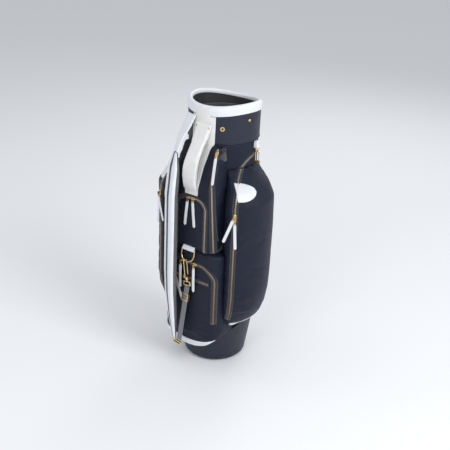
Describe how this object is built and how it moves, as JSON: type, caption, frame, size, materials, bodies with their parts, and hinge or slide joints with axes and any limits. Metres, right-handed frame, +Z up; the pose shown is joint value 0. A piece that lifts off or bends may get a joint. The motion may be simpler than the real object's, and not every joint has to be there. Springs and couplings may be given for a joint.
{
  "type": "golf bag",
  "caption": "Round golf bag on its own base, with a saddle-shaped padded rim, club dividers, zip pockets with leather pulls, a carry handle and one padded shoulder strap on a snap hook.",
  "frame": {"origin": "centre of the sole's underside, on the floor", "axes": "+Z up, -Y towards the front with the handle and the ball pocket, +X to the right seen from the front"},
  "size_m": [0.38, 0.3232, 0.8903],
  "materials": {
    "navy_nylon": "woven, slight sheen",
    "navy_leather": "fine grain, satin",
    "white_leather": "fine grain, satin",
    "strap_leather": "fine grain with a navy centre",
    "pull_leather": "smooth, stitched edge",
    "adjuster_web": "tight webbing",
    "gold_metal": "polished champagne gold",
    "slider_metal": "polished",
    "copper_teeth": "moulded teeth",
    "silver_teeth": "moulded teeth",
    "liner_plastic": "matte",
    "lining_fabric": "short pile",
    "sole_rubber": "matte"
  },
  "bodies": {
    "bag": {"base_sole": "sole_rubber", "base_cup": "navy_leather", "barrel_tube": "liner_plastic", "outer_shell": "navy_nylon", "collar_ring": "liner_plastic", "cuff_cover": "navy_leather", "rim_binding": "white_leather", "divider_frame": "lining_fabric", "divider_sheets": "lining_fabric", "front_pouch": "navy_nylon", "ball_pocket": "navy_nylon", "ball_zip": "copper_teeth", "small_zip": "copper_teeth", "pouch_zip": "silver_teeth", "edge_zip": "silver_teeth", "side_pocket_right": "navy_nylon", "side_pocket_left": "navy_nylon", "side_zip_right": "copper_teeth", "side_zip_left": "copper_teeth", "pocket_patches": "white_leather", "foot_trim": "white_leather", "spine_panel": "white_leather", "carry_handle": "white_leather", "rivets_and_studs": "gold_metal", "eyelets": "gold_metal", "badge_plate": "gold_metal", "towel_tab": "white_leather", "d_ring_tab": "white_leather", "d_ring": "gold_metal", "snap_hook": "gold_metal", "strap_anchor": "white_leather"},
    "pouch_slider_left": {"pouch_slider_left": "slider_metal"},
    "pouch_pull_left": {"pouch_pull_left": "pull_leather"},
    "ball_slider_left": {"ball_slider_left": "slider_metal"},
    "ball_pull_left": {"ball_pull_left": "pull_leather"},
    "pouch_slider_right": {"pouch_slider_right": "slider_metal"},
    "pouch_pull_right": {"pouch_pull_right": "pull_leather"},
    "ball_slider_right": {"ball_slider_right": "slider_metal"},
    "ball_pull_right": {"ball_pull_right": "pull_leather"},
    "edge_slider": {"edge_slider": "slider_metal"},
    "edge_pull": {"edge_pull": "pull_leather"},
    "small_slider": {"small_slider": "slider_metal"},
    "small_pull": {"small_pull": "pull_leather"},
    "side_slider_left_lower": {"side_slider_left_lower": "slider_metal"},
    "side_pull_left_lower": {"side_pull_left_lower": "pull_leather"},
    "side_slider_left_upper": {"side_slider_left_upper": "slider_metal"},
    "side_pull_left_upper": {"side_pull_left_upper": "pull_leather"},
    "side_slider_right_lower": {"side_slider_right_lower": "slider_metal"},
    "side_pull_right_lower": {"side_pull_right_lower": "pull_leather"},
    "side_slider_right_upper": {"side_slider_right_upper": "slider_metal"},
    "side_pull_right_upper": {"side_pull_right_upper": "pull_leather"},
    "shoulder_strap": {"strap_pad": "strap_leather", "adjuster_strap": "adjuster_web", "buckle": "gold_metal", "strap_ring": "gold_metal", "swivel_eye": "gold_metal"},
    "hook_gate": {"hook_gate": "gold_metal"},
    "towel_ring": {"towel_ring": "gold_metal"},
    "carabiner": {"carabiner": "gold_metal"},
    "carabiner_gate": {"carabiner_gate": "gold_metal"}
  },
  "joints": [
    {"name": "pouch_left_slide", "type": "slide", "parent": "bag", "child": "pouch_slider_left", "axis": [-1, 0, 0], "range_m": [0, 0.009]},
    {"name": "pouch_left_pull_swing", "type": "hinge", "parent": "pouch_slider_left", "child": "pouch_pull_left", "pos_m": [-0.009, -0.1609, 0.605], "axis": [-1, 0, 0], "range_deg": [0, 8]},
    {"name": "ball_left_slide", "type": "slide", "parent": "bag", "child": "ball_slider_left", "axis": [-1, 0, 0], "range_m": [0, 0.012]},
    {"name": "ball_left_pull_swing", "type": "hinge", "parent": "ball_slider_left", "child": "ball_pull_left", "pos_m": [-0.026, -0.1689, 0.388], "axis": [-1, 0, 0], "range_deg": [0, 6]},
    {"name": "pouch_right_slide", "type": "slide", "parent": "bag", "child": "pouch_slider_right", "axis": [1, 0, 0], "range_m": [0, 0.009]},
    {"name": "pouch_right_pull_swing", "type": "hinge", "parent": "pouch_slider_right", "child": "pouch_pull_right", "pos_m": [0.009, -0.1609, 0.605], "axis": [-1, 0, 0], "range_deg": [0, 75]},
    {"name": "ball_right_slide", "type": "slide", "parent": "bag", "child": "ball_slider_right", "axis": [1, 0, 0], "range_m": [0, 0.012]},
    {"name": "ball_right_pull_swing", "type": "hinge", "parent": "ball_slider_right", "child": "ball_pull_right", "pos_m": [0.026, -0.1689, 0.388], "axis": [-1, 0, 0], "range_deg": [0, 75]},
    {"name": "edge_slide", "type": "slide", "parent": "bag", "child": "edge_slider", "axis": [0.0704, -0.3369, -0.9389], "range_m": [0, 0.085]},
    {"name": "edge_pull_swing", "type": "hinge", "parent": "edge_slider", "child": "edge_pull", "pos_m": [0.06216, -0.12174, 0.75033], "axis": [-1, 0, 0], "range_deg": [0, 60]},
    {"name": "small_slide", "type": "slide", "parent": "bag", "child": "small_slider", "axis": [1, 0, 0], "range_m": [-0.004, 0.034]},
    {"name": "small_pull_swing", "type": "hinge", "parent": "small_slider", "child": "small_pull", "pos_m": [-0.052, -0.1639, 0.332], "axis": [-1, 0, 0], "range_deg": [0, 6]},
    {"name": "side_left_lower_slide", "type": "slide", "parent": "bag", "child": "side_slider_left_lower", "axis": [0, 0, -1], "range_m": [0, 0.2]},
    {"name": "side_left_lower_pull_swing", "type": "hinge", "parent": "side_slider_left_lower", "child": "side_pull_left_lower", "pos_m": [-0.14513, -0.13101, 0.562], "axis": [-0.9465, 0.3226, 0], "range_deg": [0, 6]},
    {"name": "side_left_upper_slide", "type": "slide", "parent": "bag", "child": "side_slider_left_upper", "axis": [0, 0, 1], "range_m": [0, 0.018]},
    {"name": "side_left_upper_pull_swing", "type": "hinge", "parent": "side_slider_left_upper", "child": "side_pull_left_upper", "pos_m": [-0.14675, -0.13575, 0.576], "axis": [-0.9465, 0.3226, 0], "range_deg": [0, 50]},
    {"name": "side_right_lower_slide", "type": "slide", "parent": "bag", "child": "side_slider_right_lower", "axis": [0, 0, -1], "range_m": [0, 0.2]},
    {"name": "side_right_lower_pull_swing", "type": "hinge", "parent": "side_slider_right_lower", "child": "side_pull_right_lower", "pos_m": [0.14513, -0.13101, 0.562], "axis": [-0.9465, -0.3226, 0], "range_deg": [0, 6]},
    {"name": "side_right_upper_slide", "type": "slide", "parent": "bag", "child": "side_slider_right_upper", "axis": [0, 0, 1], "range_m": [0, 0.018]},
    {"name": "side_right_upper_pull_swing", "type": "hinge", "parent": "side_slider_right_upper", "child": "side_pull_right_upper", "pos_m": [0.14675, -0.13575, 0.576], "axis": [-0.9465, -0.3226, 0], "range_deg": [0, 50]},
    {"name": "strap_swing", "type": "hinge", "parent": "bag", "child": "shoulder_strap", "pos_m": [-0.058, -0.163, 0.739], "axis": [-0.1497, 0.0201, 0.9885], "range_deg": [0, 15]},
    {"name": "hook_gate_turn", "type": "hinge", "parent": "bag", "child": "hook_gate", "pos_m": [0.00157, -0.17849, 0.34558], "axis": [-0.9887, 0, -0.1497], "range_deg": [0, 11], "stiffness_Nm_per_rad": 0.03, "springref_deg": -8.59},
    {"name": "towel_ring_swing", "type": "hinge", "parent": "bag", "child": "towel_ring", "pos_m": [0.11596, 0.0163, 0.748], "axis": [0.1392, -0.9903, 0], "range_deg": [0, 60]},
    {"name": "carabiner_swing", "type": "hinge", "parent": "towel_ring", "child": "carabiner", "pos_m": [0.11596, 0.0163, 0.733], "axis": [0.1392, -0.9903, 0], "range_deg": [0, 40]},
    {"name": "carabiner_gate_turn", "type": "hinge", "parent": "carabiner", "child": "carabiner_gate", "pos_m": [0.12141, 0.01706, 0.7029], "axis": [0.1392, -0.9903, 0], "range_deg": [0, 15], "stiffness_Nm_per_rad": 0.03, "springref_deg": -8.59}
  ]
}
